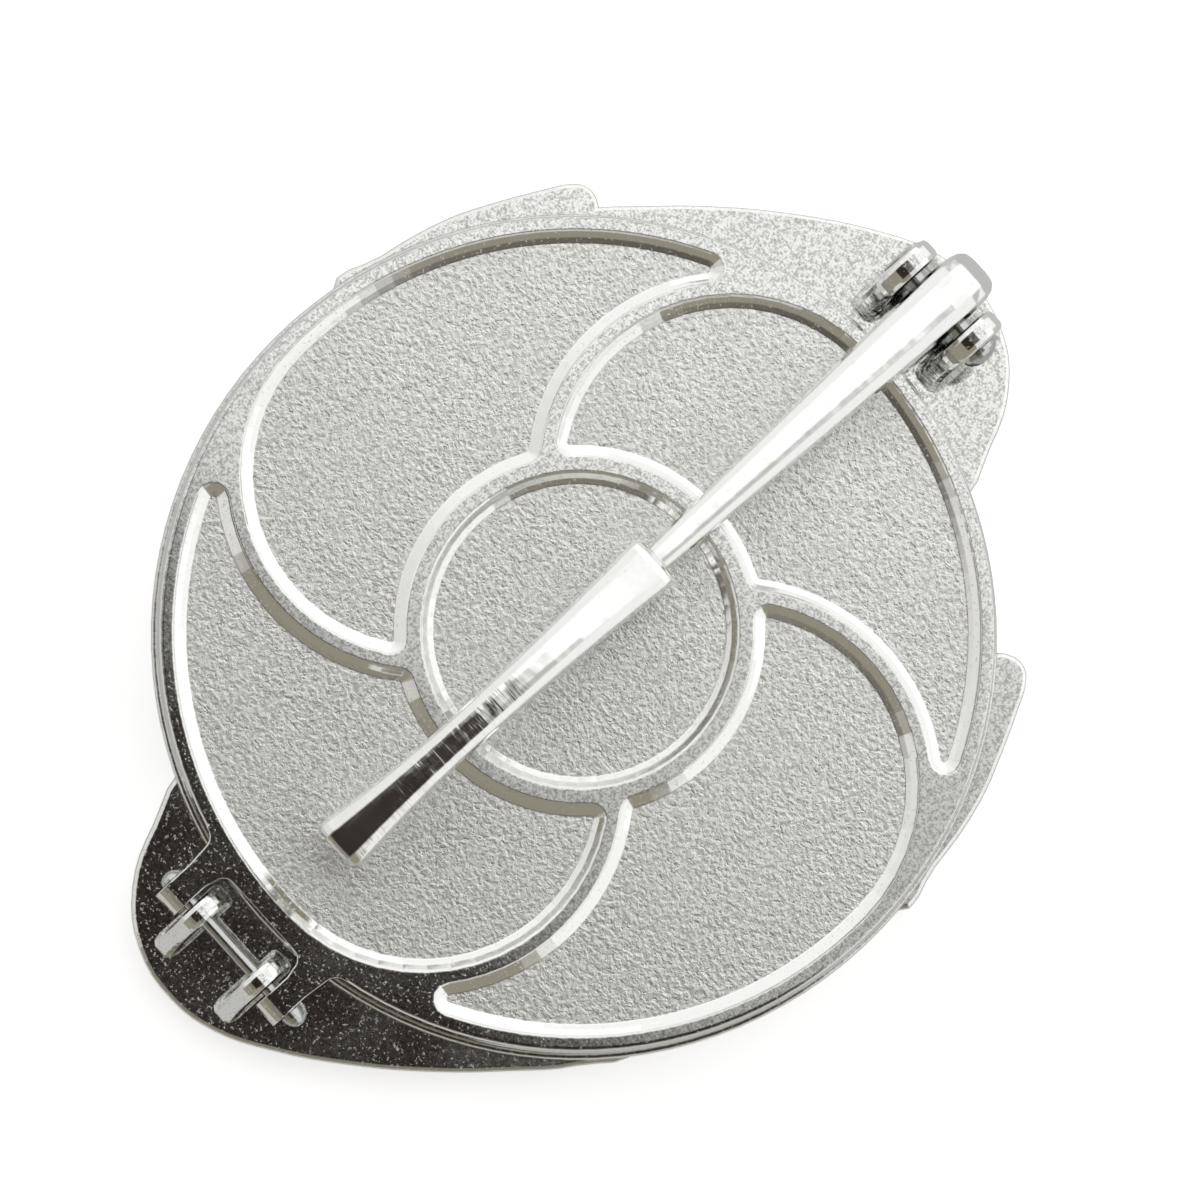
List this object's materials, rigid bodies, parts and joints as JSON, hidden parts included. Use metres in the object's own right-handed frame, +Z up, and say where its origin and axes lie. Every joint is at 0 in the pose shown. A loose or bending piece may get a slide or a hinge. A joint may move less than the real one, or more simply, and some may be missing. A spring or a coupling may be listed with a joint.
{
  "type": "tortilla press",
  "caption": "Cast aluminium kitchen press: a lever pushes a hinged round plate down on a round base to flatten dough balls into tortillas.",
  "frame": {"origin": "the middle of the platens on the table plane, at the foot of the boss under the base", "axes": "+Z up, +Y towards the plate hinge at the rear, +X to the right seen from the lever's side"},
  "size_m": [0.2068, 0.2616, 0.0499],
  "materials": {
    "base_casting": "sand cast with tumbled, bright surface",
    "top_casting": "sand cast with polished ridge flanks",
    "lever_casting": "polished casting",
    "pin_steel": "bright drawn steel"
  },
  "bodies": {
    "base": {"base_plate": "base_casting", "hinge_pin": "pin_steel", "pivot_pin": "pin_steel"},
    "top_plate": {"top_plate": "top_casting"},
    "lever": {"lever": "lever_casting"}
  },
  "joints": [
    {"name": "lever_swing", "type": "hinge", "parent": "base", "child": "lever", "pos_m": [0, -0.1166, 0.028], "axis": [1, 0, 0], "range_deg": [0, 180]},
    {"name": "top_plate_hinge", "type": "hinge", "parent": "base", "child": "top_plate", "pos_m": [0, 0.1115, 0.0205], "axis": [-1, 0, 0], "range_deg": [0, 12.6]}
  ],
  "couplings": [
    {"joint": "top_plate_hinge", "follows": "lever_swing", "ratio": 0.07}
  ]
}
